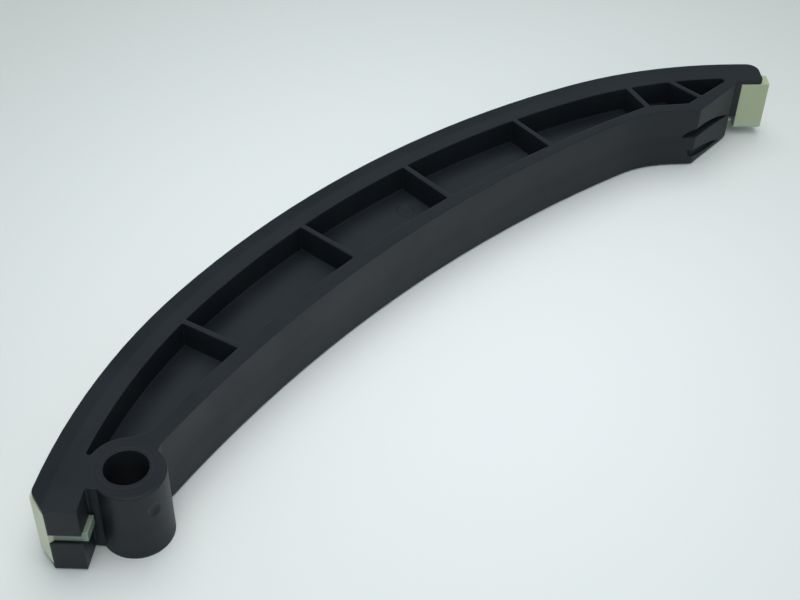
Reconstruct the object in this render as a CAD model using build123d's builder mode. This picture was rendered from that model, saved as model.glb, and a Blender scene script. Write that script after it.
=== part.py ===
from build123d import *
from math import cos, radians, sin
import os

os.makedirs("parts", exist_ok=True)

# Millimetres; the arm lies on its side, the pivot axis is the origin
# Layers through the thickness
thickness = 19.2
lip_height = 1.4
web_thickness = 4.4

# Fits between the shoe and the arm
shoe_clearance = 0.05
strap_clearance = 0.05
end_clearance = 0.1

# Chain line: three arcs that run on from each other
chain_start_x = -18.0
chain_start_y = 8.52
chain_heading = 38.13
rise_radius = 163.3
rise_sweep = 23.86
crown_radius = 263.0
crown_sweep = 31.15
fall_radius = 129.4
front_angle = -41.2

# Walls measured inwards from the chain line
lip_depth = 3.4
chain_wall = 4.2
shoe_proud = 0.6

# Strip face, pad and drop, worked back from the end of the chain line
end_reach = 2.09
end_width = 9.21
strip_step_x = 1.55
strip_step_y = 1.0
pad_length = 19.1
pad_slope = 4.5
drop_heading = -38.7
drop_run = 6.76
drop_radius = 32.0
concave_heading = -9.75
concave_foot = (9.53, 0.67)
concave_root = (7.0, -1.15)

# Pivot boss, whose round is set off from the bore and stands proud of the lower face
bore_radius = 5.0
boss_shift = 1.2
boss_foot_radius = 8.2
boss_top_radius = 8.05
boss_edge_round = 0.4
boss_proud = 0.5
pocket_ring = 8.85
dimple_radius = 4.0
dimple_depth = 0.5
dimple_height = 13.5
dimple_turn = -90.0

# Nose and the thin rib that ties it to the boss
nose_side = (-19.75, 2.0)
nose_tip = (-14.7, -3.0)
nose_back = (-9.72, 1.2)
nose_rib = (-9.18, 0.54)
nose_corner_dx = -0.6
nose_corner_dy = -0.82
seat_floor_x = -15.65
rib_root = (-7.0, -1.75)

# Strap that runs round the nose
strap_bottom = 8.4
strap_height = 2.7
strap_thickness = 2.4
strap_recess = 0.9
strap_proud = 1.0
strap_stop = 0.5

# Pockets
pocket_end_x = -4.0
pocket_end_round = 0.6
boss_corner_round = 7.5
pocket_root = (5.82, 3.8)
pocket_bend_heading = -11.7
pocket_bend_radius = 12.0
pocket_drop_heading = -35.7
pocket_drop_run = 10.0
pad_wall = 4.5
pocket_tip_round = 1.25

# Ribs as distance along the pocket edge, heading and width: past the rise, then back from the free end
near_ribs = [(-8.38, -74.3, 1.35), (37.32, -83.7, 1.35), (75.13, -91.7, 1.5)]
far_ribs = [(76.01, -95.5, 1.35), (36.71, -108.6, 1.6), (23.05, -89.4, 1.55)]
rib_overrun = 4.0
rib_reach = 40.0
rib_root_round = 0.3
pin_mark_distance = 69.06
pin_mark_inset = 7.9
pin_mark_radius = 2.4
pin_mark_depth = 0.2

# Free end, measured along the strip face and inwards from it
strip_width = 2.1
strip_bottom = 5.7
strip_chamfer = 0.9
lip_end = 8.4
lip_end_round = 3.5
lip_front_round = 1.2
tongue_length = 2.5
tongue_outer = 3.45
tongue_clearance = 0.1
foot_end = 10.65
foot_depth = 5.1
foot_back_round = 0.8
foot_front_round = 0.5
foot_low_round = 1.8
foot_side_round = 0.8
shoe_end_inset = 0.3
shoe_nose_rise = 0.3
pad_foot_round = 2.0

# Groove and scoop across the pad: across from the pad corner, and up
groove_left = (-3.4, 9.2)
groove_crown = (1.3, 12.65)
groove_low = (5.0, 9.4)
groove_right = (18.1, 8.4)
groove_depth = 2.4
scoop_upper_left = (-1.6, 5.0)
scoop_upper = (6.3, 3.95)
scoop_right = (14.4, 1.2)
scoop_lower = (5.8, 1.4)
scoop_lower_left = (-0.9, 2.7)
scoop_depth = 1.1

mid_height = thickness / 2
web_bottom = mid_height - web_thickness / 2
web_top = mid_height + web_thickness / 2
lip_plane = thickness - lip_height
shoe_bottom = lip_height + shoe_clearance
shoe_height = thickness - 2 * shoe_bottom
chain_depth = lip_depth + chain_wall
fall_sweep = chain_heading - rise_sweep - crown_sweep - front_angle


def toward(heading):
    return (cos(radians(heading)), sin(radians(heading)))


def along(point, heading, distance):
    run_x, run_y = toward(heading)
    return (point[0] + distance * run_x, point[1] + distance * run_y)


def off(point, direction, distance):
    return (point[0] + direction[0] * distance, point[1] + direction[1] * distance)


def chain_line(inset):
    first = along((chain_start_x, chain_start_y), chain_heading - 90, inset)
    rise = JernArc(first, toward(chain_heading), rise_radius - inset, -rise_sweep)
    crown = JernArc(rise @ 1, rise % 1, crown_radius - inset, -crown_sweep)
    fall = JernArc(crown @ 1, crown % 1, fall_radius - inset, -fall_sweep)
    return rise @ 0, fall @ 1


# Points of the free end, back along the strip, the pad and the drop
with BuildLine() as chain_probe:
    chain_first, chain_last = chain_line(0)
chain_end = (chain_last.X, chain_last.Y)
strip_corner = along(along(chain_end, front_angle, -end_reach), front_angle + 90, -end_width)
pad_right = (strip_corner[0] - strip_step_x, strip_corner[1] - strip_step_y)
pad_corner = along(pad_right, pad_slope, -pad_length)
drop_top = along(pad_corner, drop_heading, -drop_run)
pocket_kink = (pad_corner[0], pad_corner[1] + pad_wall)
pocket_turn = along(pocket_kink, pocket_drop_heading, -pocket_drop_run)
tongue_end = strip_width + tongue_length
tongue_inner = end_width - lip_depth


def tip(distance, depth):
    return along(along(strip_corner, front_angle, distance), front_angle + 90, depth)


def concave_side():
    Polyline(strip_corner, pad_right, pad_corner, drop_top)
    drop = JernArc(drop_top, toward(drop_heading + 180), drop_radius, concave_heading - drop_heading)
    TangentArc(drop @ 1, concave_foot, tangent=drop % 1)
    Polyline(concave_foot, concave_root, rib_root, nose_rib, nose_back, nose_tip, nose_side)


# Points of the nose; its outward directions are the face's and the back's
lip_corner = (chain_start_x + nose_corner_dx, chain_start_y + nose_corner_dy)
seat_end = (seat_floor_x, nose_side[1])
face_run = (nose_tip[0] - nose_side[0], nose_tip[1] - nose_side[1])
face_length = (face_run[0] ** 2 + face_run[1] ** 2) ** 0.5
face_out = (face_run[1] / face_length, -face_run[0] / face_length)
back_run = (nose_back[0] - nose_tip[0], nose_back[1] - nose_tip[1])
back_length = (back_run[0] ** 2 + back_run[1] ** 2) ** 0.5
back_out = (back_run[1] / back_length, -back_run[0] / back_length)
back_along = (back_run[0] / back_length, back_run[1] / back_length)
nose_cross = face_out[0] * back_out[1] - face_out[1] * back_out[0]


def nose_corner(from_face, from_back):
    dx = (from_face * back_out[1] - from_back * face_out[1]) / nose_cross
    dy = (from_back * face_out[0] - from_face * back_out[0]) / nose_cross
    return (nose_tip[0] + dx, nose_tip[1] + dy)


strap_inner = strap_recess + strap_thickness
hook_inner = strap_thickness - strap_proud
hook_stop = off(nose_tip, back_along, back_length - strap_stop)

# Rib tops on the pocket's chain edge
with BuildLine() as pocket_edge:
    edge_first, edge_last = chain_line(chain_depth)
edge_wire = pocket_edge.wire()
edge_length = edge_wire.length
rise_length = radians(rise_sweep) * (rise_radius - chain_depth)
rib_marks = [(rise_length + distance, heading, width) for distance, heading, width in near_ribs]
rib_marks += [(edge_length - distance, heading, width) for distance, heading, width in far_ribs]


def edge_point(distance):
    point = edge_wire.position_at(distance, position_mode=PositionMode.LENGTH)
    return (point.X, point.Y)


def rib_corners(distance, heading, width):
    top = along(edge_point(distance), heading, -rib_overrun)
    low = along(top, heading, rib_reach + rib_overrun)
    return top, low, along(low, heading + 90, width), along(top, heading + 90, width)


def on_rib(vertex):
    for distance, heading, width in rib_marks:
        top_x, top_y = edge_point(distance)
        side_x, side_y = toward(heading + 90)
        across = (vertex.X - top_x) * side_x + (vertex.Y - top_y) * side_y
        if min(abs(across), abs(across - width)) < 0.01:
            return True
    return False


# Plan outline of the pockets on both sides of the web
with BuildSketch() as pocket_plan:
    with BuildLine():
        near_end, far_end = chain_line(chain_depth)
        low_right = (far_end.X, far_end.Y - pad_wall)
        low_left = (pocket_kink[0], far_end.Y - pad_wall)
        Polyline(far_end, low_right, low_left, pocket_kink, pocket_turn)
        bend_sweep = pocket_bend_heading - pocket_drop_heading
        bend = JernArc(pocket_turn, toward(pocket_drop_heading + 180), pocket_bend_radius, bend_sweep)
        TangentArc(bend @ 1, pocket_root, tangent=bend % 1)
        Line(pocket_root, near_end)
    make_face()
    with Locations(pocket_kink):
        Rectangle(2 * pad_length, pad_length, align=(Align.MIN, Align.MAX), mode=Mode.SUBTRACT)
    Circle(pocket_ring, mode=Mode.SUBTRACT)
    with Locations((pocket_end_x, 0)):
        Rectangle(thickness * 2, thickness * 2, align=(Align.MAX, Align.CENTER), mode=Mode.SUBTRACT)
    fillet(pocket_plan.vertices().sort_by(Axis.X)[-1:], pocket_tip_round)
    fillet([v for v in pocket_plan.vertices() if abs(v.X - pocket_end_x) < 0.01], pocket_end_round)
    ring_corners = [v for v in pocket_plan.vertices() if abs((v.X**2 + v.Y**2) ** 0.5 - pocket_ring) < 0.01]
    fillet(sorted(ring_corners, key=lambda v: v.X)[-1:], boss_corner_round)
    for rib in rib_marks:
        with BuildLine():
            Polyline(*rib_corners(*rib), close=True)
        make_face(mode=Mode.SUBTRACT)
    fillet([v for v in pocket_plan.vertices() if on_rib(v)], rib_root_round)


def groove_point(place):
    return (pad_corner[0] + place[0], place[1])


def pad_band(depth):
    # From in front of the pad and the drop to the depth behind their faces
    turn = pad_slope - drop_heading
    inner = along(pad_corner, (pad_slope + drop_heading) / 2 + 90, depth / cos(radians(turn / 2)))
    Polyline(
        along(pad_corner, -90, thickness),
        along(pad_right, -90, thickness),
        along(pad_right, pad_slope + 90, depth),
        inner,
        along(inner, drop_heading, -drop_run),
        along(pad_corner, 180, thickness),
        close=True,
    )


def corner_round(radius):
    # Cut for the corner at (0, 0) of a body that lies to the left and above
    JernArc((0, radius), (0, -1), radius, -90)
    Polyline((-radius, 0), (-radius, -radius), (radius, -radius), (radius, radius), (0, radius))


# Arm body
with BuildPart() as arm_body:
    with BuildSketch() as core_plan:
        with BuildLine():
            seat_first, seat_last = chain_line(lip_depth)
            Polyline(
                seat_last,
                tip(tongue_end, tongue_inner),
                tip(tongue_end, tongue_outer),
                tip(strip_width, tongue_outer),
                tip(strip_width, 0),
                strip_corner,
            )
            concave_side()
            Polyline(nose_side, seat_end, seat_first)
        make_face()
    extrude(amount=thickness)
    with BuildSketch() as lip_plan:
        with BuildLine():
            lip_first, lip_last = chain_line(0)
            lip_turn = tip(lip_end - lip_end_round, end_width)
            Line(lip_last, lip_turn)
            back = JernArc(lip_turn, toward(front_angle), lip_end_round, -90)
            front_turn = tip(lip_end, lip_front_round)
            Line(back @ 1, front_turn)
            front = JernArc(front_turn, toward(front_angle - 90), lip_front_round, -90)
            Line(front @ 1, strip_corner)
            concave_side()
            Polyline(nose_side, lip_corner, lip_first)
        make_face()
    extrude(amount=lip_height)
    with BuildSketch(Plane.XY.offset(lip_plane)):
        add(lip_plan.sketch)
    extrude(amount=lip_height)

    # Boss with a little draft and a softened rim, and the bore beside its centre
    boss_plane = Plane(origin=(0, -boss_shift, 0), x_dir=(1, 0, 0), z_dir=(0, -1, 0))
    with BuildSketch(boss_plane):
        with BuildLine():
            rim_low = (boss_top_radius, thickness - boss_edge_round)
            rim_inner = (boss_top_radius - boss_edge_round, thickness)
            Polyline((0, thickness), (0, -boss_proud), (boss_foot_radius, -boss_proud), rim_low)
            RadiusArc(rim_low, rim_inner, -boss_edge_round)
            Line(rim_inner, (0, thickness))
        make_face()
    revolve(axis=Axis((0, -boss_shift, 0), (0, 0, 1)))
    with BuildSketch(Plane.XY.offset(thickness)):
        Circle(bore_radius)
    extrude(amount=-thickness - boss_proud, mode=Mode.SUBTRACT)

    # Pockets from both faces down to the web
    with BuildSketch(Plane.XY.offset(web_top)):
        add(pocket_plan.sketch)
    extrude(amount=thickness, mode=Mode.SUBTRACT)
    with BuildSketch(Plane.XY.offset(web_bottom)):
        add(pocket_plan.sketch)
    extrude(amount=-thickness, mode=Mode.SUBTRACT)

    # Round mark left by a mould pin on one pocket floor
    mark_distance = rise_length + pin_mark_distance
    mark_heading = edge_wire.tangent_angle_at(mark_distance / edge_length) - 90
    mark_x, mark_y = along(edge_point(mark_distance), mark_heading, pin_mark_inset)
    with Locations((mark_x, mark_y, web_top)):
        Cylinder(pin_mark_radius, 2 * pin_mark_depth, mode=Mode.SUBTRACT)

    # Below the strip the free end is open and its lowest corner is rounded
    strip_along = toward(front_angle)
    strip_out = toward(front_angle - 90)
    open_plane = Plane(origin=strip_corner, x_dir=strip_along, z_dir=strip_out)
    with BuildSketch(open_plane):
        with BuildLine():
            open_end = lip_end + thickness
            JernArc((0, pad_foot_round), (0, -1), pad_foot_round, -90)
            Polyline(
                (-pad_foot_round, 0),
                (-pad_foot_round, -pad_foot_round),
                (open_end, -pad_foot_round),
                (open_end, strip_bottom),
                (0, strip_bottom),
                (0, pad_foot_round),
            )
        make_face()
    extrude(amount=thickness, both=True, mode=Mode.SUBTRACT)

    # Groove in the nose for the strap
    with BuildSketch(Plane.XY.offset(strap_bottom)):
        with BuildLine():
            slot_face = strap_inner + strap_clearance
            slot_back = hook_inner + strap_clearance
            Polyline(
                off(nose_side, face_out, -slot_face),
                nose_corner(-slot_face, -slot_back),
                off(nose_back, back_out, -slot_back),
                off(nose_back, back_out, strap_recess),
                nose_corner(strap_recess, strap_recess),
                off(nose_side, face_out, strap_recess),
                close=True,
            )
        make_face()
    extrude(amount=strap_height, mode=Mode.SUBTRACT)

    # Bevel under the strip
    strip_back = toward(front_angle + 180)
    bevel_plane = Plane(origin=(*strip_corner, strip_bottom), x_dir=strip_out, z_dir=strip_back)
    with BuildSketch(bevel_plane):
        with BuildLine():
            Polyline((0, strip_chamfer), (-strip_chamfer, 0), (0, 0), close=True)
        make_face()
    extrude(amount=-strip_width, mode=Mode.SUBTRACT)

    # Shallow round dimple on the side of the boss
    dimple_reach = boss_top_radius + dimple_radius - dimple_depth
    with Locations((*along((0, -boss_shift), dimple_turn, dimple_reach), dimple_height)):
        Sphere(dimple_radius, mode=Mode.SUBTRACT)

    # Groove and scoop across the pad
    with BuildPart(mode=Mode.PRIVATE) as groove_cut:
        with BuildSketch(Plane.XZ):
            with BuildLine():
                crown = groove_point(groove_crown)
                left = groove_point(groove_left)
                right = groove_point(groove_right)
                TangentArc(crown, left, tangent=(-1, 0))
                ThreePointArc(left, groove_point(groove_low), right)
                TangentArc(crown, right, tangent=(1, 0))
            make_face()
        extrude(amount=thickness, both=True)
        with BuildSketch(mode=Mode.PRIVATE) as groove_band:
            with BuildLine():
                pad_band(groove_depth)
            make_face()
        extrude(groove_band.sketch, amount=thickness, mode=Mode.INTERSECT)
    add(groove_cut.part, mode=Mode.SUBTRACT)
    with BuildPart(mode=Mode.PRIVATE) as scoop_cut:
        with BuildSketch(Plane.XZ):
            with BuildLine():
                upper_left = groove_point(scoop_upper_left)
                lower_left = groove_point(scoop_lower_left)
                right = groove_point(scoop_right)
                ThreePointArc(upper_left, groove_point(scoop_upper), right)
                ThreePointArc(right, groove_point(scoop_lower), lower_left)
                Line(lower_left, upper_left)
            make_face()
        extrude(amount=thickness, both=True)
        with BuildSketch(mode=Mode.PRIVATE) as scoop_band:
            with BuildLine():
                pad_band(scoop_depth)
            make_face()
        extrude(scoop_band.sketch, amount=thickness, mode=Mode.INTERSECT)
    add(scoop_cut.part, mode=Mode.SUBTRACT)

# Shoe with the foot at its free end and the strap round the nose
with BuildPart() as sliding_shoe:
    with BuildSketch(Plane.XY.offset(shoe_bottom)) as shoe_plan:
        with BuildLine():
            outer_first, outer_last = chain_line(-shoe_proud)
            turn_start = tip(lip_end - lip_end_round, end_width - shoe_end_inset)
            Line(outer_last, turn_start)
            turn = JernArc(turn_start, toward(front_angle), lip_end_round - shoe_end_inset, -90)
            back_turn = tip(foot_end - foot_back_round, foot_depth)
            Polyline(turn @ 1, tip(lip_end - shoe_end_inset, foot_depth), back_turn)
            back = JernArc(back_turn, toward(front_angle), foot_back_round, -90)
            front_turn = tip(foot_end, foot_front_round)
            Line(back @ 1, front_turn)
            front = JernArc(front_turn, toward(front_angle - 90), foot_front_round, -90)
            hook_start = strip_width + tongue_clearance
            hook_end = tongue_end + tongue_clearance
            hook_depth = tongue_outer - tongue_clearance
            inner_first, inner_last = chain_line(lip_depth - shoe_clearance)
            Polyline(
                front @ 1,
                tip(hook_start, 0),
                tip(hook_start, hook_depth),
                tip(hook_end, hook_depth),
                tip(hook_end, tongue_inner + shoe_clearance),
                inner_last,
            )
            block_y = nose_side[1] + end_clearance
            Polyline(
                inner_first,
                (seat_floor_x - shoe_clearance, block_y),
                (nose_side[0], block_y),
                (lip_corner[0] - shoe_proud, lip_corner[1] + shoe_nose_rise),
                outer_first,
            )
        make_face()
    extrude(amount=shoe_height)
    with BuildSketch(Plane.XY.offset(strap_bottom + strap_clearance)):
        with BuildLine():
            Polyline(
                off(nose_side, face_out, -strap_recess),
                nose_corner(-strap_recess, strap_proud),
                off(hook_stop, back_out, strap_proud),
                off(hook_stop, back_out, -hook_inner),
                nose_corner(-strap_inner, -hook_inner),
                off(nose_side, face_out, -strap_inner),
                close=True,
            )
        make_face()
    extrude(amount=strap_height - 2 * strap_clearance)

    # Rounded lower edges along the foot's front, its end and its strip side
    front_edge = Plane(origin=(*strip_corner, shoe_bottom), x_dir=strip_out, z_dir=strip_back)
    with BuildSketch(front_edge):
        with BuildLine():
            corner_round(foot_low_round)
        make_face()
    extrude(amount=-2 * foot_end, mode=Mode.SUBTRACT)
    end_edge = Plane(origin=(*tip(foot_end, 0), shoe_bottom), x_dir=strip_along, z_dir=strip_out)
    with BuildSketch(end_edge):
        with BuildLine():
            corner_round(foot_low_round)
        make_face()
    extrude(amount=foot_depth, both=True, mode=Mode.SUBTRACT)
    strip_in = toward(front_angle + 90)
    side_edge = Plane(origin=(*tip(hook_start, 0), shoe_bottom), x_dir=strip_back, z_dir=strip_in)
    with BuildSketch(side_edge):
        with BuildLine():
            corner_round(foot_side_round)
        make_face()
    extrude(amount=hook_depth, mode=Mode.SUBTRACT)

arm_body.part.label = "arm_body"
sliding_shoe.part.label = "sliding_shoe"
export_step(arm_body.part, "parts/arm_body.step")
export_step(sliding_shoe.part, "parts/sliding_shoe.step")
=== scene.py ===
import bpy
import math
import numpy as np
from mathutils import Matrix, Vector


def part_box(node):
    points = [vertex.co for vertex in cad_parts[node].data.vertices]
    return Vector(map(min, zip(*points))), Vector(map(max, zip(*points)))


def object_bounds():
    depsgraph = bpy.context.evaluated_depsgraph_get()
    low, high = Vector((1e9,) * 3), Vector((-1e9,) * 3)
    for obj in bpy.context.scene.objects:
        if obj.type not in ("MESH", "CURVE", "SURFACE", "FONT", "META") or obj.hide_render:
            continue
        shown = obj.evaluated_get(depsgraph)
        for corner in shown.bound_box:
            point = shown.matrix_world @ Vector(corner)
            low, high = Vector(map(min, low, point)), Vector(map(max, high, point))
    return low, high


# Chain tensioner arm lying on its side on a pale table; metres throughout
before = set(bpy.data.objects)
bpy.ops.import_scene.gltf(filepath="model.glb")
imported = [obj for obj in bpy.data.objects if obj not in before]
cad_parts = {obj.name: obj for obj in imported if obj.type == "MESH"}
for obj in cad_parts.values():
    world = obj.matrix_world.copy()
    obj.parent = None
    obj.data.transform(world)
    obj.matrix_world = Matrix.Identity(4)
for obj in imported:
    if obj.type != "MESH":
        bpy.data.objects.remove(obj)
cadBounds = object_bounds()
scene = bpy.context.scene
scene.view_settings.view_transform = "Standard"
print("frame loaded:", ", ".join(sorted(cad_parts)))


# A node of one kind at a place in the tree, with its settings
def makeNode(tree, kind, place=(0, 0), **settings):
    node = tree.nodes.new(kind)
    node.location = place
    for key, value in settings.items():
        setattr(node, key, value)
    return node


def wire(tree, source, target):
    tree.links.new(source, target)


# Feeds a socket: an output is wired to it, a colour or a number is set on it
def feed(tree, value, socket):
    if isinstance(value, bpy.types.NodeSocket):
        wire(tree, value, socket)
    elif socket.type == "RGBA":
        socket.default_value = (*value, 1.0)
    else:
        socket.default_value = value


# Next spot on a grid to the left, so that nodes made in a row don't lie on each other
def freeSpot(tree):
    column, row = divmod(len(tree.nodes), 8)
    return (-2800 + 180 * column, 800 - 200 * row)


# One step of node maths
def mathNode(tree, operation, first, second=0.0, clamp=False):
    node = makeNode(tree, "ShaderNodeMath", freeSpot(tree), operation=operation, use_clamp=clamp)
    feed(tree, first, node.inputs[0])
    feed(tree, second, node.inputs[1])
    return node.outputs["Value"]


# Values multiplied together
def product(tree, first, *others):
    for value in others:
        first = mathNode(tree, "MULTIPLY", first, value)
    return first


# 1 less a mask
def opposite(tree, mask):
    return mathNode(tree, "SUBTRACT", 1.0, mask)


# How far a value is from a middle one, either way
def awayFrom(tree, value, middle):
    return mathNode(tree, "ABSOLUTE", mathNode(tree, "SUBTRACT", value, middle))


# Smooth step of a value, from 0 at low to 1 at high
def stepNode(tree, value, low, high):
    node = makeNode(tree, "ShaderNodeMapRange", freeSpot(tree), interpolation_type="SMOOTHSTEP")
    node.inputs["From Min"].default_value = low
    node.inputs["From Max"].default_value = high
    wire(tree, value, node.inputs["Value"])
    return node.outputs["Result"]


# Colour laid over another by a mask
def layColor(tree, mask, under, over):
    node = makeNode(tree, "ShaderNodeMix", freeSpot(tree), data_type="RGBA")
    feed(tree, mask, node.inputs["Factor"])
    feed(tree, under, node.inputs["A"])
    feed(tree, over, node.inputs["B"])
    return node.outputs["Result"]


# X, Y and Z of one kind of coordinates: Object for a place, Normal for the way a face looks,
# Generated for a direction in the room
def coordinateAxes(tree, kind):
    coords = makeNode(tree, "ShaderNodeTexCoord", freeSpot(tree))
    axes = makeNode(tree, "ShaderNodeSeparateXYZ", freeSpot(tree))
    wire(tree, coords.outputs[kind], axes.inputs["Vector"])
    return axes.outputs["X"], axes.outputs["Y"], axes.outputs["Z"]


# A shader node group: number inputs with their usual values, and outputs of the kinds given
def startGroup(name, inputs, outputs):
    group = bpy.data.node_groups.new(name, "ShaderNodeTree")
    for label, value in inputs.items():
        socket = group.interface.new_socket(name=label, in_out="INPUT", socket_type="NodeSocketFloat")
        socket.default_value = value
    for label, kind in outputs.items():
        group.interface.new_socket(name=label, in_out="OUTPUT", socket_type=kind)
    entry = makeNode(group, "NodeGroupInput", (-1100, 300))
    leaving = makeNode(group, "NodeGroupOutput", (700, 0))
    return group, entry.outputs, leaving.inputs


# Noise of the moulded skin, the same kind on both plastics; grain and mottle go by the noise node's sockets
skinNoise = {
    "grain": {"Detail": 3.0, "Roughness": 0.6},
    "mottle": {"Detail": 4.0, "Roughness": 0.55, "Distortion": 0.4},
    "mottleFrom": 0.32,         # this stretch of the mottling is spread over 0 to 1
    "mottleTo": 0.68,
}


# Noise on the object's own coordinates
def noiseNode(tree, place, scale, values):
    coords = makeNode(tree, "ShaderNodeTexCoord", (place[0] - 300, place[1]))
    noise = makeNode(tree, "ShaderNodeTexNoise", place)
    wire(tree, coords.outputs["Object"], noise.inputs["Vector"])
    wire(tree, scale, noise.inputs["Scale"])
    for key, value in values.items():
        noise.inputs[key].default_value = value
    return noise.outputs["Fac"]


# Moulded skin: fine grain for the bump and slow mottling for colour and gloss
def buildMouldedSkin():
    group, given, result = startGroup("mouldedSkin", {"Grain Scale": 2000.0, "Mottle Scale": 60.0},
                                      {"Grain": "NodeSocketFloat", "Mottle": "NodeSocketFloat"})
    grain = noiseNode(group, (-400, 150), given["Grain Scale"], skinNoise["grain"])
    mottle = noiseNode(group, (-400, -150), given["Mottle Scale"], skinNoise["mottle"])
    spread = makeNode(group, "ShaderNodeMapRange", (0, -150))
    spread.inputs["From Min"].default_value = skinNoise["mottleFrom"]
    spread.inputs["From Max"].default_value = skinNoise["mottleTo"]
    wire(group, mottle, spread.inputs["Value"])
    wire(group, grain, result["Grain"])
    wire(group, spread.outputs["Result"], result["Mottle"])
    return group


edgeRounding = {
    "samples": 8,
    "leanFrom": 0.995,          # cosine of the lean where the edge mask begins
    "leanTo": 0.80,             # and where it is full
}


# Soft edges: a rounded normal, and a mask of how far it leans from the flat one, which the plastics use for
# a painted highlight along the edges
def buildSoftEdges():
    group, given, result = startGroup("softEdges", {"Radius": 0.0003},
                                      {"Normal": "NodeSocketVector", "Edge": "NodeSocketFloat"})
    rounded = makeNode(group, "ShaderNodeBevel", (-350, 0), samples=edgeRounding["samples"])
    wire(group, given["Radius"], rounded.inputs["Radius"])
    flat = makeNode(group, "ShaderNodeNewGeometry", (-350, -200))
    lean = makeNode(group, "ShaderNodeVectorMath", (-100, -100), operation="DOT_PRODUCT")
    wire(group, rounded.outputs["Normal"], lean.inputs[0])
    wire(group, flat.outputs["Normal"], lean.inputs[1])
    mask = makeNode(group, "ShaderNodeMapRange", (120, -100))
    mask.inputs["From Min"].default_value = edgeRounding["leanFrom"]
    mask.inputs["From Max"].default_value = edgeRounding["leanTo"]
    wire(group, lean.outputs["Value"], mask.inputs["Value"])
    wire(group, rounded.outputs["Normal"], result["Normal"])
    wire(group, mask.outputs["Result"], result["Edge"])
    return group


# The line that the chain runs along, seen from above: three arcs that run on from each other
chainLine = {
    "start": (-0.01800, 0.00852),
    "heading": 38.13,                                                # degrees from +X
    "arcs": [(0.1633, 23.86), (0.2630, 31.15), (0.1294, 24.32)],     # radius, degrees turned
}


# Depth inwards from the chain line, counted from Start: each arc's radius less the distance to its centre,
# where the next arc takes over past the joint
def buildChainDepth():
    group, given, result = startGroup("chainDepth", {"Start": 0.0}, {"Depth": "NodeSocketFloat"})
    coords = makeNode(group, "ShaderNodeTexCoord", (-1100, 0))
    flat = makeNode(group, "ShaderNodeVectorMath", (-900, 0), operation="MULTIPLY")
    flat.inputs[1].default_value = (1.0, 1.0, 0.0)
    wire(group, coords.outputs["Object"], flat.inputs[0])
    place = np.array(chainLine["start"])
    heading = math.radians(chainLine["heading"])
    depth = None
    for index, (radius, turned) in enumerate(chainLine["arcs"]):
        column = -600 + 300 * index
        ahead = np.array([math.cos(heading), math.sin(heading)])
        centre = place + radius * np.array([ahead[1], -ahead[0]])
        fromCentre = makeNode(group, "ShaderNodeVectorMath", (column, 200), operation="DISTANCE")
        fromCentre.inputs[1].default_value = (*centre, 0.0)
        wire(group, flat.outputs["Vector"], fromCentre.inputs[0])
        inwards = makeNode(group, "ShaderNodeMath", (column + 150, 200), operation="SUBTRACT")
        inwards.inputs[0].default_value = radius
        wire(group, fromCentre.outputs["Value"], inwards.inputs[1])
        if depth is None:
            depth = inwards.outputs["Value"]
        else:
            along = makeNode(group, "ShaderNodeVectorMath", (column, -100), operation="DOT_PRODUCT")
            along.inputs[1].default_value = (*ahead, 0.0)
            wire(group, flat.outputs["Vector"], along.inputs[0])
            past = makeNode(group, "ShaderNodeMath", (column + 150, -100), operation="GREATER_THAN")
            past.inputs[1].default_value = float(place @ ahead)
            wire(group, along.outputs["Value"], past.inputs[0])
            chosen = makeNode(group, "ShaderNodeMix", (column + 300, 0), data_type="FLOAT")
            wire(group, past.outputs["Value"], chosen.inputs["Factor"])
            wire(group, depth, chosen.inputs["A"])
            wire(group, inwards.outputs["Value"], chosen.inputs["B"])
            depth = chosen.outputs["Result"]
        heading -= math.radians(turned)
        place = centre + radius * np.array([-math.sin(heading), math.cos(heading)])
    counted = makeNode(group, "ShaderNodeMath", (550, 0), operation="SUBTRACT")
    wire(group, depth, counted.inputs[0])
    wire(group, given["Start"], counted.inputs[1])
    wire(group, counted.outputs["Value"], result["Depth"])
    return group


mouldedSkin = buildMouldedSkin()
softEdges = buildSoftEdges()
chainDepth = buildChainDepth()
print("node groups built")


# Bump of a height on top of another normal; its depth in metres
def bumpNode(tree, place, height, normal, strength, depth):
    bump = makeNode(tree, "ShaderNodeBump", place)
    bump.inputs["Strength"].default_value = strength
    bump.inputs["Distance"].default_value = depth
    wire(tree, height, bump.inputs["Height"])
    wire(tree, normal, bump.inputs["Normal"])
    return bump.outputs["Normal"]
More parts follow.
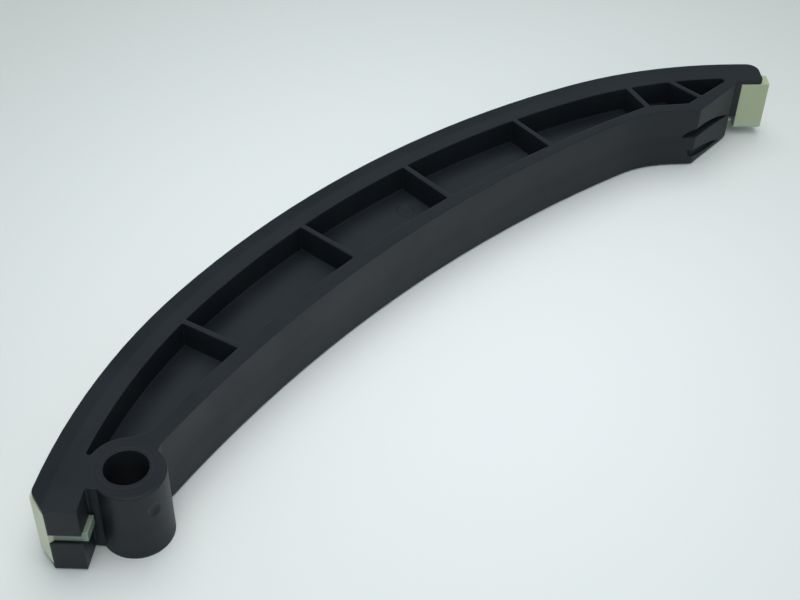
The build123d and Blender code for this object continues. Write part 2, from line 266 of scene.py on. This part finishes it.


# Plastic: base and bloom colours mixed by the mottling, edges a little paler as a painted highlight, grain
# and any dent in the bump
def makePlastic(name, finish, addMarks):
    material = bpy.data.materials.new(name)
    material.use_nodes = True
    tree = material.node_tree
    shader = tree.nodes["Principled BSDF"]
    skin = makeNode(tree, "ShaderNodeGroup", (-900, 100), node_tree=mouldedSkin)
    skin.inputs["Grain Scale"].default_value = finish["grainScale"]
    skin.inputs["Mottle Scale"].default_value = finish["mottleScale"]
    mottle = skin.outputs["Mottle"]
    edges = makeNode(tree, "ShaderNodeGroup", (-900, -200), node_tree=softEdges)
    edges.inputs["Radius"].default_value = finish["edgeRadius"]
    tone = layColor(tree, product(tree, mottle, finish["mottleShare"]), finish["color"], finish["bloomAndHighlight"])
    tone, dent = addMarks(tree, finish, tone, mottle)
    # painted highlight: the pale colour laid along the edges, where rounded edges catch the light
    tone = layColor(tree, product(tree, edges.outputs["Edge"], finish["edgeHighlightShare"]), tone, finish["bloomAndHighlight"])
    wire(tree, tone, shader.inputs["Base Color"])
    gloss = makeNode(tree, "ShaderNodeMapRange", (-350, -50))
    gloss.inputs["To Min"].default_value = finish["roughnessLeast"]
    gloss.inputs["To Max"].default_value = finish["roughnessMost"]
    wire(tree, mottle, gloss.inputs["Value"])
    wire(tree, gloss.outputs["Result"], shader.inputs["Roughness"])
    normal = bumpNode(tree, (-350, -300), skin.outputs["Grain"], edges.outputs["Normal"],
                      finish["grainStrength"], finish["grainDepth"])
    if dent is not None:
        normal = bumpNode(tree, (-150, -300), dent, normal, finish["dentStrength"], finish["dentDepth"])
    wire(tree, normal, shader.inputs["Normal"])
    shader.inputs["Specular IOR Level"].default_value = finish["specular"]
    return material


# Gives a node of the model its material
def dress(node, material):
    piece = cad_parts[node]
    piece.data.materials.clear()
    piece.data.materials.append(material)


# Black glass-filled nylon of the arm
armPlastic = {
    "color": (0.0102, 0.0130, 0.0168),
    "bloomAndHighlight": (0.0188, 0.0235, 0.0290),      # where the mottling is lightest, and as a painted highlight along the edges
    "mottleShare": 0.45,
    "mottleScale": 60.0,
    "grainScale": 2600.0,
    "grainDepth": 0.000018,
    "grainStrength": 0.35,
    "roughnessLeast": 0.40,
    "roughnessMost": 0.54,
    "specular": 0.26,
    "edgeRadius": 0.00055,
    "edgeHighlightShare": 0.7,
    "halfWidth": float(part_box("arm_body")[1][2]) / 2,       # the arm's lower face is at height 0
    "faceSlack": 0.0002,
    "lipDepth": 0.0034,                     # from the chain line to the wall behind the shoe
    "innerPale": (0.0188, 0.0220, 0.0255),     # flat faces inside the lip
    "innerPaleSoftness": (-0.0003, 0.0006),    # past the lip
    "innerPaleLeast": 0.55,
    "innerPaleMottle": 0.35,
    "innerPaleFrom": 0.14,                     # fades from here towards the free end
    "innerPaleTo": 0.22,
    "innerPaleFade": 0.7,
    "floorLitColor": (0.0245, 0.0305, 0.0355),  # pocket floors away from the chain-side wall: painted light, leaving the floor beside that wall darker as painted shade
    "floorShare": 0.90,
    "floorFrom": 0.0056,                    # past the lip, where the painted light on the floors begins
    "floorTo": 0.0116,
    "floorReach": 0.0026,                   # the floors lie no further than this from the middle plane
    "floorLevel": 0.9,                      # the least upright part of a floor's normal
    "beltHeight": 0.0080,                   # darker belt round the walls
    "beltReach": 0.0035,
    "beltShare": 0.20,
    "ringRadius": 0.0060,                   # seat mark round the bore
    "ringReach": 0.00035,
    "ringShare": 0.5,
    "dentDepth": 0.00008,
    "dentStrength": 0.5,
    "rippleStep": 0.00125,                  # flow ripples round the boss
    "rippleEnd": 0.0125,
    "rippleShare": 0.12,
    "shade": (0.0, 0.0, 0.0),               # laid thinly for the belt and the ripples
}


# Where a point of the arm lies: its place, its distance from the middle plane, whether it is on one of the
# two flat faces, and its depth past the lip
def armPlaces(tree, finish):
    x, y, z = coordinateAxes(tree, "Object")
    depth = makeNode(tree, "ShaderNodeGroup", freeSpot(tree), node_tree=chainDepth)
    depth.inputs["Start"].default_value = finish["lipDepth"]
    offMiddle = awayFrom(tree, z, finish["halfWidth"])
    onFace = mathNode(tree, "GREATER_THAN", offMiddle, finish["halfWidth"] - finish["faceSlack"])
    return {"x": x, "y": y, "z": z, "offMiddle": offMiddle, "onFace": onFace,
            "pastLip": depth.outputs["Depth"]}


# Flat faces inside the lip: paler, unevenly, and less so towards the free end
def paleInnerFaces(tree, finish, tone, mottle, at):
    softFrom, softTo = finish["innerPaleSoftness"]
    inside = stepNode(tree, at["pastLip"], softFrom, softTo)
    uneven = mathNode(tree, "ADD", product(tree, mottle, finish["innerPaleMottle"]), finish["innerPaleLeast"])
    towardEnd = stepNode(tree, at["x"], finish["innerPaleFrom"], finish["innerPaleTo"])
    kept = opposite(tree, product(tree, towardEnd, finish["innerPaleFade"]))
    return layColor(tree, product(tree, at["onFace"], inside, uneven, kept), tone, finish["innerPale"])


# Pocket floors: painted shade and light on level faces near the middle plane, darker in the shade beside the
# chain-side wall and paler away from it
def paintFloorShade(tree, finish, tone, at):
    upright = mathNode(tree, "ABSOLUTE", coordinateAxes(tree, "Normal")[2])
    level = mathNode(tree, "GREATER_THAN", upright, finish["floorLevel"])
    onWeb = mathNode(tree, "LESS_THAN", at["offMiddle"], finish["floorReach"])
    inwards = stepNode(tree, at["pastLip"], finish["floorFrom"], finish["floorTo"])
    # painted light: floors paler away from the chain-side wall, leaving a painted shade beside it
    pale = product(tree, onWeb, level, inwards, finish["floorShare"])
    return layColor(tree, pale, tone, finish["floorLitColor"])


# Belt: darkest at one height, fading above and below
def darkBelt(tree, finish, tone, at):
    fromBelt = awayFrom(tree, at["z"], finish["beltHeight"])
    belt = opposite(tree, stepNode(tree, fromBelt, 0.0, finish["beltReach"]))
    return layColor(tree, product(tree, belt, finish["beltShare"]), tone, finish["shade"])


# Round the bore: a seat mark, and ripples by the sine of the distance that die away outwards
def boreMarks(tree, finish, tone, at):
    squares = mathNode(tree, "ADD", product(tree, at["x"], at["x"]), product(tree, at["y"], at["y"]))
    reach = mathNode(tree, "SQRT", squares)
    fromRing = awayFrom(tree, reach, finish["ringRadius"])
    ring = product(tree, opposite(tree, stepNode(tree, fromRing, 0.0, finish["ringReach"])), at["onFace"])
    wave = mathNode(tree, "SINE", product(tree, reach, 2 * math.pi / finish["rippleStep"]))
    nearBoss = opposite(tree, stepNode(tree, reach, finish["ringRadius"], finish["rippleEnd"]))
    ripple = product(tree, wave, nearBoss, at["onFace"])
    ripple = mathNode(tree, "MULTIPLY", ripple, finish["rippleShare"], clamp=True)
    tone = layColor(tree, ripple, tone, finish["shade"])
    tone = layColor(tree, product(tree, ring, finish["ringShare"]), tone, finish["innerPale"])
    return tone, ring


# All the arm's marks; the seat mark is a shallow dent too
def armMarks(tree, finish, tone, mottle):
    at = armPlaces(tree, finish)
    tone = paleInnerFaces(tree, finish, tone, mottle, at)
    tone = paintFloorShade(tree, finish, tone, at)
    tone = darkBelt(tree, finish, tone, at)
    tone, ring = boreMarks(tree, finish, tone, at)
    return tone, product(tree, ring, -1.0)


dress("arm_body", makePlastic("armPlastic", armPlastic, armMarks))
print("black plastic on the arm")

# Pale natural nylon of the shoe
shoePlastic = {
    "color": (0.540, 0.575, 0.415),
    "bloomAndHighlight": (0.630, 0.660, 0.530),
    "mottleShare": 0.28,
    "mottleScale": 90.0,
    "grainScale": 1500.0,
    "grainDepth": 0.000010,
    "grainStrength": 0.35,
    "roughnessLeast": 0.32,
    "roughnessMost": 0.46,
    "specular": 0.40,
    "edgeRadius": 0.0004,
    "edgeHighlightShare": 0.5,
    "footYellowAndShade": (0.375, 0.430, 0.270),     # yellower towards the foot, and darker there as painted shade
    "footShare": 0.85,
    "footFrom": 0.10,
    "footTo": 0.21,
    "footLowColor": (0.400, 0.480, 0.370),  # and paler along its rounded lower edge
    "footLowFrom": 0.0062,
    "footLowTo": 0.0025,
    "strapSeeThroughAndShade": (0.155, 0.212, 0.180),    # the thin strap lets the black behind it show, and painted shade darkens it where it lies recessed in the nose's slot
    "strapShare": 0.9,
    "strapFront": 0.0,                      # the strap lies behind the bore's axis
    "strapTop": 0.00205,                    # and short of the nose's chain side
}


# Shoe: yellower towards the foot and darker there as painted shade, paler along the foot's lower edge,
# darker where the strap is thin and recessed, partly as painted shade
def shoeMarks(tree, finish, tone, mottle):
    x, y, z = coordinateAxes(tree, "Object")
    towardFoot = stepNode(tree, x, finish["footFrom"], finish["footTo"])
    # the foot darker as painted shade, as well as yellower
    tone = layColor(tree, product(tree, towardFoot, finish["footShare"]), tone, finish["footYellowAndShade"])
    low = opposite(tree, stepNode(tree, z, finish["footLowTo"], finish["footLowFrom"]))
    tone = layColor(tree, product(tree, low, towardFoot), tone, finish["footLowColor"])
    behind = mathNode(tree, "LESS_THAN", x, finish["strapFront"])
    below = mathNode(tree, "LESS_THAN", y, finish["strapTop"])
    # partly painted shade: the recessed strap darker, beside the black showing through it
    strap = product(tree, behind, below, finish["strapShare"])
    return layColor(tree, strap, tone, finish["strapSeeThroughAndShade"]), None


dress("sliding_shoe", makePlastic("shoePlastic", shoePlastic, shoeMarks))
print("pale plastic on the shoe")

# The room around: what lights the arm, and what the camera and reflections see of it
room = {
    "color": (0.82, 0.94, 1.04),
    "strength": 0.42,
    "seen": (0.55, 0.62, 0.61),             # near the level of the eye
    "overhead": (0.19, 0.22, 0.23),
    "fadeFrom": 0.10,                       # sine of the height angle
    "fadeTo": 0.50,
}

# The table: a painted pool of light, lightest under the arm and greyer outwards on an oval
tableTop = {
    "size": 6.0,
    "poolLitColor": (0.850, 0.885, 0.878),
    "beyondPoolColor": (0.515, 0.548, 0.520),
    "roughness": 0.6,
    "middle": (0.097, 0.002),               # middle of the painted pool of light
    "turn": 45.0,                           # the oval's long axis, degrees from +X
    "reach": (0.298, 0.260),                # from the pool's middle to its grey outside, along and across
    "farFrom": 1.3,                         # in those reaches: where the wall's own colour begins
    "farTo": 2.8,
}


# 1 for a ray of the camera, of a reflection or through a clear part
def seenDirectly(tree):
    path = makeNode(tree, "ShaderNodeLightPath", freeSpot(tree))
    either = mathNode(tree, "ADD", path.outputs["Is Camera Ray"], path.outputs["Is Glossy Ray"])
    return mathNode(tree, "ADD", either, path.outputs["Is Transmission Ray"], clamp=True)


# Table's material: its colour a smooth step of the distance from the middle of the painted pool of light,
# and far out the wall's own colour for what is seen directly
def makePaleTable(level):
    material = bpy.data.materials.new("paleTable")
    material.use_nodes = True
    tree = material.node_tree
    shader = tree.nodes["Principled BSDF"]
    coords = makeNode(tree, "ShaderNodeTexCoord", (-900, 0))
    oval = makeNode(tree, "ShaderNodeMapping", (-700, 0), vector_type="TEXTURE")
    oval.inputs["Location"].default_value = (*tableTop["middle"], level)
    oval.inputs["Rotation"].default_value = (0.0, 0.0, math.radians(tableTop["turn"]))
    oval.inputs["Scale"].default_value = (*tableTop["reach"], 1.0)
    wire(tree, coords.outputs["Object"], oval.inputs["Vector"])
    outwards = makeNode(tree, "ShaderNodeVectorMath", (-550, 0), operation="LENGTH")
    wire(tree, oval.outputs["Vector"], outwards.inputs[0])
    away = outwards.outputs["Value"]
    # painted pool of light on the table
    tone = layColor(tree, stepNode(tree, away, 0.0, 1.0), tableTop["poolLitColor"], tableTop["beyondPoolColor"])
    wire(tree, tone, shader.inputs["Base Color"])
    shader.inputs["Roughness"].default_value = tableTop["roughness"]
    far = stepNode(tree, away, tableTop["farFrom"], tableTop["farTo"])
    paint = makeNode(tree, "ShaderNodeEmission", (0, -200))
    paint.inputs["Color"].default_value = (*room["seen"], 1.0)
    sheet = makeNode(tree, "ShaderNodeMixShader", (400, 0))
    wire(tree, product(tree, far, seenDirectly(tree)), sheet.inputs["Fac"])
    wire(tree, shader.outputs["BSDF"], sheet.inputs[1])
    wire(tree, paint.outputs["Emission"], sheet.inputs[2])
    wire(tree, sheet.outputs["Shader"], tree.nodes["Material Output"].inputs["Surface"])
    return material


# Table: one wide sheet under the boss's lower face
def makeTable():
    half = tableTop["size"] / 2
    level = float(cadBounds[0][2])
    corners = [(-half, -half, level), (half, -half, level), (half, half, level), (-half, half, level)]
    mesh = bpy.data.meshes.new("tableTop")
    mesh.from_pydata(corners, [], [(0, 1, 2, 3)])
    table = bpy.data.objects.new("tableTop", mesh)
    scene.collection.objects.link(table)
    table.data.materials.append(makePaleTable(level))


makeTable()
print("table laid")


# Room: an even light for the arm, and a wall, darker overhead, where a ray that is seen goes past the table
def makeWorld():
    world = bpy.data.worlds.new("paleRoom")
    world.use_nodes = True
    tree = world.node_tree
    light = tree.nodes["Background"]
    light.inputs["Color"].default_value = (*room["color"], 1.0)
    light.inputs["Strength"].default_value = room["strength"]
    wall = makeNode(tree, "ShaderNodeBackground", (-200, -200))
    height = coordinateAxes(tree, "Generated")[2]
    fade = stepNode(tree, height, room["fadeFrom"], room["fadeTo"])
    wire(tree, layColor(tree, fade, room["seen"], room["overhead"]), wall.inputs["Color"])
    either = makeNode(tree, "ShaderNodeMixShader", (100, 0))
    wire(tree, seenDirectly(tree), either.inputs["Fac"])
    wire(tree, light.outputs["Background"], either.inputs[1])
    wire(tree, wall.outputs["Background"], either.inputs[2])
    wire(tree, either.outputs["Shader"], tree.nodes["World Output"].inputs["Surface"])
    scene.world = world


makeWorld()
print("room lit")

# Lamps: place and aim, size of the square, watts, and whether the plastic mirrors the lamp
lampColor = (1.0, 0.985, 0.965)
lamps = {
    "keyLamp": {
        "place": (0.42, 0.42, 1.60), "aim": (0.10, 0.02, 0.0), "size": 1.30, "watts": 11.8, "shines": False,
    },
    "fillLamp": {
        "place": (-0.55, -0.65, 0.75), "aim": (0.08, 0.0, 0.0), "size": 0.9, "watts": 2.3, "shines": True,
    },
    "topLamp": {
        "place": (0.05, -0.25, 1.20), "aim": (0.12, 0.02, 0.0), "size": 0.8, "watts": 4.0, "shines": True,
    },
}


# Square lamp at its place, turned to its aim
def makeLamp(name, entry):
    data = bpy.data.lights.new(name, "AREA")
    data.size = entry["size"]
    data.energy = entry["watts"]
    data.color = lampColor
    place = Vector(entry["place"])
    turn = (Vector(entry["aim"]) - place).to_track_quat("-Z", "Y").to_matrix().to_4x4()
    lamp = bpy.data.objects.new(name, data)
    lamp.matrix_world = Matrix.Translation(place) @ turn
    lamp.visible_glossy = entry["shines"]
    scene.collection.objects.link(lamp)


for lampName, lampEntry in lamps.items():
    makeLamp(lampName, lampEntry)
print("lamps set")

# Where the photograph was taken from
cameraPlace = {
    "position": (-0.0953, -0.1785, 0.2427),
    "heading": 45.34,           # degrees from +X
    "tilt": 41.77,              # degrees below the level
    "roll": 1.56,
    "focalPixels": 1370.0,
    "imageWidth": 800.0,
    "sensorWidth": 36.0,        # millimetres
    "nearest": 0.01,
    "farthest": 20.0,
}


# Camera: right and up directions from heading, tilt and roll
def makeCamera():
    heading = math.radians(cameraPlace["heading"])
    tilt = math.radians(cameraPlace["tilt"])
    roll = math.radians(cameraPlace["roll"])
    level = np.array([math.cos(heading), math.sin(heading), 0.0])
    forward = math.cos(tilt) * level - np.array([0.0, 0.0, math.sin(tilt)])
    right = np.array([math.sin(heading), -math.cos(heading), 0.0])
    up = np.cross(right, forward)
    rolledRight = math.cos(roll) * right + math.sin(roll) * up
    rolledUp = math.cos(roll) * up - math.sin(roll) * right
    turn = Matrix([list(row) for row in np.column_stack([rolledRight, rolledUp, -forward])]).to_4x4()
    data = bpy.data.cameras.new("photoCamera")
    data.sensor_width = cameraPlace["sensorWidth"]
    data.sensor_fit = "HORIZONTAL"
    data.lens = cameraPlace["focalPixels"] / cameraPlace["imageWidth"] * cameraPlace["sensorWidth"]
    data.clip_start = cameraPlace["nearest"]
    data.clip_end = cameraPlace["farthest"]
    camera = bpy.data.objects.new("photoCamera", data)
    camera.matrix_world = Matrix.Translation(cameraPlace["position"]) @ turn
    scene.collection.objects.link(camera)
    scene.camera = camera


makeCamera()
print("camera set")
